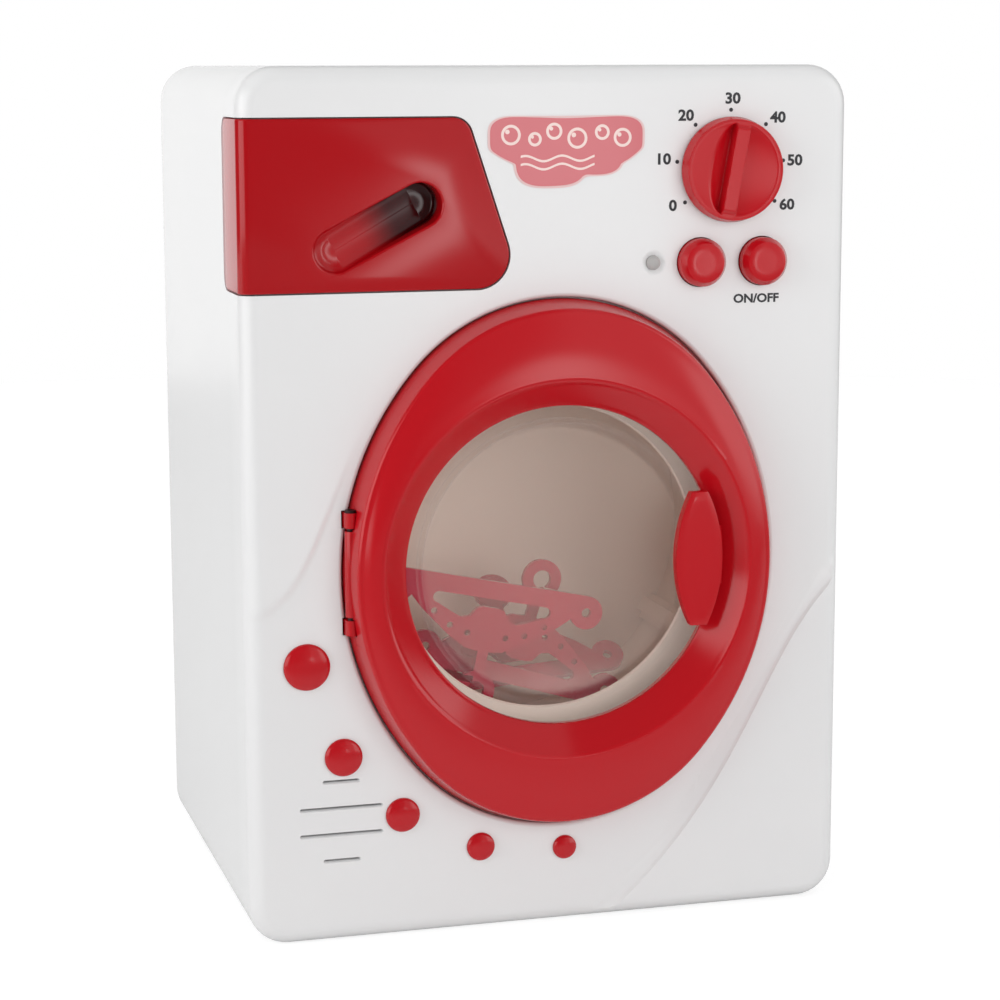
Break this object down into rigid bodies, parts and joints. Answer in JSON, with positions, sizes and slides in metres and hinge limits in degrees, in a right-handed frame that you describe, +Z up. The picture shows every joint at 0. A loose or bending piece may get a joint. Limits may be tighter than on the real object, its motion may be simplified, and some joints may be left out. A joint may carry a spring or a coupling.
{
  "type": "toy washing machine",
  "caption": "Toy front-loading washing machine with a round window door, turning drum, pull-out drawer, dial and push buttons, and doll clothes hangers inside.",
  "frame": {"origin": "centre of the flat bottom", "axes": "+X to the right seen from the front, +Y to the back, +Z up; the front faces -Y"},
  "size_m": [0.19, 0.16, 0.264],
  "materials": {
    "white_abs": "smooth glossy white ABS",
    "red_abs": "glossy red ABS",
    "clear_plastic": "clear moulded polystyrene",
    "hanger_red": "clear red moulded plastic",
    "drum_plastic": "satin moulded plastic",
    "grey_plastic": "moulded plastic",
    "black_plastic": "moulded plastic",
    "gear_plastic": "acetal",
    "steel": "zinc-plated steel",
    "bronze": "sintered bronze",
    "cell_wrap": "printed plastic sleeve",
    "board_green": "solder-masked board",
    "led_red": "tinted epoxy",
    "label_paper": "printed sticker"
  },
  "bodies": {
    "cabinet": {"front_shell": "white_abs", "rear_cover": "white_abs", "cover_screws": "steel", "battery_door": "white_abs", "battery_door_screw": "steel", "battery_box": "black_plastic", "battery_cells": "cell_wrap", "battery_contacts": "steel", "hinge_bracket": "red_abs", "hinge_pin": "steel", "door_catch": "grey_plastic", "drum_housing": "white_abs", "housing_screws": "steel", "shaft_bush": "bronze", "idler_pin": "steel", "motor": "steel", "gear_cover": "white_abs", "gearbox_screws": "steel", "drawer_guide": "grey_plastic", "detent_spring": "steel", "start_button_spring": "steel", "power_button_spring": "steel", "circuit_board": "board_green", "tact_switches": "black_plastic", "board_screws": "steel", "led_lens": "clear_plastic", "led_lamp": "led_red", "speaker": "black_plastic", "speaker_clamp": "white_abs", "trim_dot_1": "red_abs", "trim_dot_2": "red_abs", "trim_dot_3": "red_abs", "trim_dot_4": "red_abs", "trim_dot_5": "red_abs", "label_plate": "label_paper"},
    "door": {"door_ring": "red_abs", "door_window": "clear_plastic", "window_clamp": "white_abs", "door_screws": "steel", "door_pull": "red_abs"},
    "drum": {"drum": "drum_plastic", "drum_shaft": "steel", "drum_gear": "gear_plastic", "hanger_a": "hanger_red", "hanger_b": "hanger_red", "hanger_c": "hanger_red"},
    "idler": {"idler_gear": "gear_plastic"},
    "motor_rotor": {"motor_pinion": "gear_plastic", "motor_shaft": "steel"},
    "drawer": {"drawer_front": "red_abs", "drawer_tray": "white_abs"},
    "dial": {"dial_knob": "red_abs", "dial_clip": "gear_plastic"},
    "start_button": {"start_button": "red_abs"},
    "power_button": {"power_button": "red_abs"}
  },
  "joints": [
    {"name": "door_swing", "type": "hinge", "parent": "cabinet", "child": "door", "pos_m": [-0.0632, -0.076, 0.1145], "axis": [0, 0, -1], "range_deg": [0, 100]},
    {"name": "drum_spin", "type": "hinge", "parent": "cabinet", "child": "drum", "pos_m": [0.002, 0, 0.114], "axis": [0, 1, 0], "continuous": true},
    {"name": "idler_spin", "type": "hinge", "parent": "cabinet", "child": "idler", "pos_m": [0.02321, 0, 0.08872], "axis": [0, 1, 0], "continuous": true},
    {"name": "motor_spin", "type": "hinge", "parent": "cabinet", "child": "motor_rotor", "pos_m": [0.0467, 0, 0.08017], "axis": [0, 1, 0], "continuous": true},
    {"name": "drawer_slide", "type": "slide", "parent": "cabinet", "child": "drawer", "axis": [0, -1, 0], "range_m": [0, 0.045]},
    {"name": "dial_turn", "type": "hinge", "parent": "cabinet", "child": "dial", "pos_m": [0.0564, 0, 0.2326], "axis": [0, 1, 0], "range_deg": [-133.6, 112.4]},
    {"name": "start_button_press", "type": "slide", "parent": "cabinet", "child": "start_button", "axis": [0, 1, 0], "range_m": [0, 0.002], "stiffness_N_per_m": 200, "deforming": ["start_button_spring"]},
    {"name": "power_button_press", "type": "slide", "parent": "cabinet", "child": "power_button", "axis": [0, 1, 0], "range_m": [0, 0.002], "stiffness_N_per_m": 200, "deforming": ["power_button_spring"]}
  ],
  "couplings": [
    {"joint": "idler_spin", "follows": "drum_spin", "ratio": -4.5},
    {"joint": "motor_spin", "follows": "drum_spin", "ratio": 18}
  ]
}
